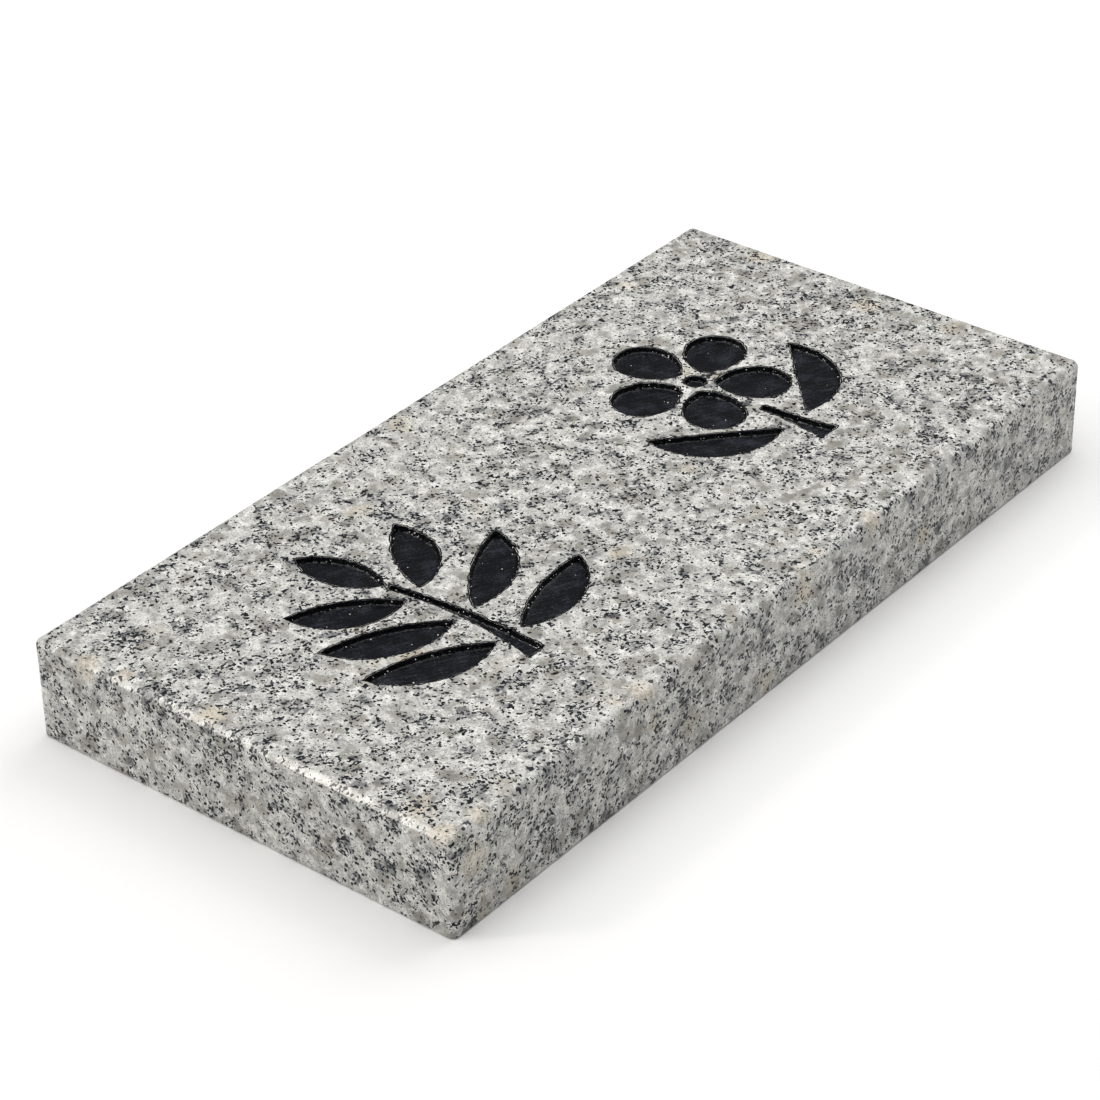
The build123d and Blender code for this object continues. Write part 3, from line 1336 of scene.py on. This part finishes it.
@dataclass(frozen=True)
class SkyGlow:
    """A broad soft glow in one part of the room."""

    heading: float
    height: float
    reach: float
    core: float
    strength: float

    def shine(self, tree: Tree, towards: Socket) -> Socket:
        """Adds the glow to the world's tree.

        Args:
            tree: the world's tree.
            towards: the direction of the sky.

        Returns:
            The glow's strength in each direction.
        """
        middle = direction(self.heading, self.height)
        nearness = tree.vector("DOT_PRODUCT", output=1, a=towards, b=middle)
        return tree.ramp(nearness, self.reach, self.core, 0.0, self.strength)


def direction(heading: float, height: float) -> Vector:
    """Finds a direction.

    Args:
        heading: the angle from +X towards +Y.
        height: the angle above the level.

    Returns:
        The unit vector.
    """
    level = math.cos(math.radians(height))
    across, along = math.cos(math.radians(heading)), math.sin(math.radians(heading))
    return Vector((level * across, level * along, math.sin(math.radians(height))))


@dataclass(frozen=True)
class Studio:
    """A pale table in a softly lit room, and the camera at the plate's left end."""

    lens: float = 113.2
    distance: float = 666.0 * MM
    heading: float = 39.1
    descent: float = 33.0
    roll: float = -1.12
    aim: tuple[float, float, float] = (-7.8 * MM, 3.2 * MM, 0.0)
    floor_half: float = 3.0
    table_colour: Colour = (0.90, 0.897, 0.89, 1.0)
    dimmest: float = 0.04
    backdrop: float = 0.88
    glows: tuple[SkyGlow, ...] = (
        SkyGlow(0.0, 90.0, 0.25, 0.95, 0.77),
        SkyGlow(135.0, 60.0, 0.5, 0.95, 0.92),
    )
    boxes: tuple[SoftBox, ...] = (
        SoftBox("far_box", -5.0, 50.0, 1.1, 0.8, 4.2),
        SoftBox("edge_light", 139.5, 37.0, 1.1, 0.13, 1.4, (1.0, 0.95, 0.87)),
    )

    def build(self, low: Vector, high: Vector) -> None:
        """Builds everything that isn't the plate.

        Args:
            low: the plate's lowest corner.
            high: the plate's highest corner.
        """
        centre = (low + high) / 2
        self.build_floor(low.z)
        self.build_sky()
        for box in self.boxes:
            box.build(centre)
        self.build_camera(centre)
        bpy.context.scene.view_settings.view_transform = "Standard"

    def build_floor(self, level: float) -> None:
        """Lays the table under the plate.

        Args:
            level: the height of its top.
        """
        parts = MeshParts()
        corners = np.array([(-1, -1), (1, -1), (1, 1), (-1, 1)]) * self.floor_half
        parts.faces.append(tuple(parts.ring(corners, level)))
        parts.finishes.append(0)
        table = {"Base Color": self.table_colour, "Roughness": 0.7, "Specular IOR Level": 0.2}
        material = MaterialTree("pale_table").finish(table)
        parts.build("table", [material], crease=30)

    def build_sky(self) -> None:
        """Makes the room's light, the sum of its glows, before a plain pale backdrop."""
        world = bpy.data.worlds.new("soft_room")
        world.use_nodes = True
        tree = Tree(world.node_tree)
        towards = tree.add("ShaderNodeTexCoord").outputs["Generated"]
        strength = self.dimmest
        for glow in self.glows:
            strength = tree.math("ADD", strength, glow.shine(tree, towards))
        seen = tree.add("ShaderNodeLightPath").outputs["Is Camera Ray"]
        strength = tree.ramp(seen, 0.0, 1.0, strength, self.backdrop)
        sky = tree.add("ShaderNodeBackground", {"Color": (1.0, 1.0, 1.0, 1.0), "Strength": strength})
        tree.add("ShaderNodeOutputWorld", {"Surface": sky.outputs[0]})
        bpy.context.scene.world = world

    def build_camera(self, centre: Vector) -> None:
        """Places the camera.

        Args:
            centre: the plate's centre.
        """
        data = bpy.data.cameras.new("camera")
        data.lens, data.sensor_width = self.lens, 36.0
        data.clip_start, data.clip_end = 0.01, 100.0
        camera = put_in_scene("camera", data)
        forward = -direction(self.heading + 180.0, self.descent)
        right = forward.cross(Vector((0, 0, 1))).normalized()
        turn = Matrix.Rotation(math.radians(-self.roll), 3, forward)
        right = turn @ right
        up = right.cross(forward)
        camera.matrix_world = Matrix.Translation(centre + Vector(self.aim) - forward * self.distance) @ (
            Matrix((right, up, -forward)).transposed().to_4x4())
        bpy.context.scene.camera = camera


def main() -> None:
    """Builds the plate's looks and the studio round it."""
    logging.basicConfig(level=logging.INFO, format="%(name)s: %(message)s")
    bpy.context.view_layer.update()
    face_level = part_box(STONE_NODE)[1].z - StoneSlab.dish
    names = sorted(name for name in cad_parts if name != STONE_NODE)
    strokes = [Stroke.from_node(name, face_level, 7.0 + 3.7 * k) for k, name in enumerate(names)]
    hairlines = build_hairline_group()
    body = Granite().build_group(build_grain_group(), build_fleck_group())
    finishes = (
        StoneFinish("polished_granite", gloss=0.2, mica_gloss=0.3, pit_depth=0.02 * MM,
                    line_depth=0.002 * MM),
        StoneFinish("sawn_granite", gloss=0.75, mica_gloss=0.6, pit_depth=0.08 * MM,
                    line_depth=0.06 * MM),
        StoneFinish("rubbed_edge_granite", gloss=0.2, mica_gloss=0.28, pit_depth=0.01 * MM,
                    line_depth=0.001 * MM, specular=0.3))
    stones = [finish.build(body, hairlines) for finish in finishes]
    enamel = Enamel().build(hairlines, face_level)
    slab = StoneSlab(strokes).build(stones)
    LOG.info("%s: %d faces", slab.name, len(slab.data.polygons))
    linings = [EnamelLining(stroke).build(enamel) for stroke in strokes]
    for lining in linings:
        LOG.info("%s: %d faces", lining.name, len(lining.data.polygons))
    nubs = Scatter("paint_nubs", Slot.ENAMEL, on_walls=0.5 * PER_MM2, on_floors=0.03 * PER_MM2,
                   smallest=0.06 * MM, largest=0.18 * MM, seed=4)
    # Pale lumps on the walls: partly feldspar crumbs in the paint, partly painted glints that stand for
    # highlights on the glossy enamel.
    grit = Scatter("bare_grit", Slot.GRANITE, on_walls=0.4 * PER_MM2, on_floors=0.015 * PER_MM2,
                   smallest=0.05 * MM, largest=0.18 * MM, seed=9)
    for scatter, material in ((nubs, enamel), (grit, CrumbsAndGlints().build())):
        lumps = scatter.build(linings, material)
        LOG.info("%s: %d faces", lumps.name, len(lumps.data.polygons))
    Studio().build(*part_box(STONE_NODE))


if __name__ == "__main__":
    main()
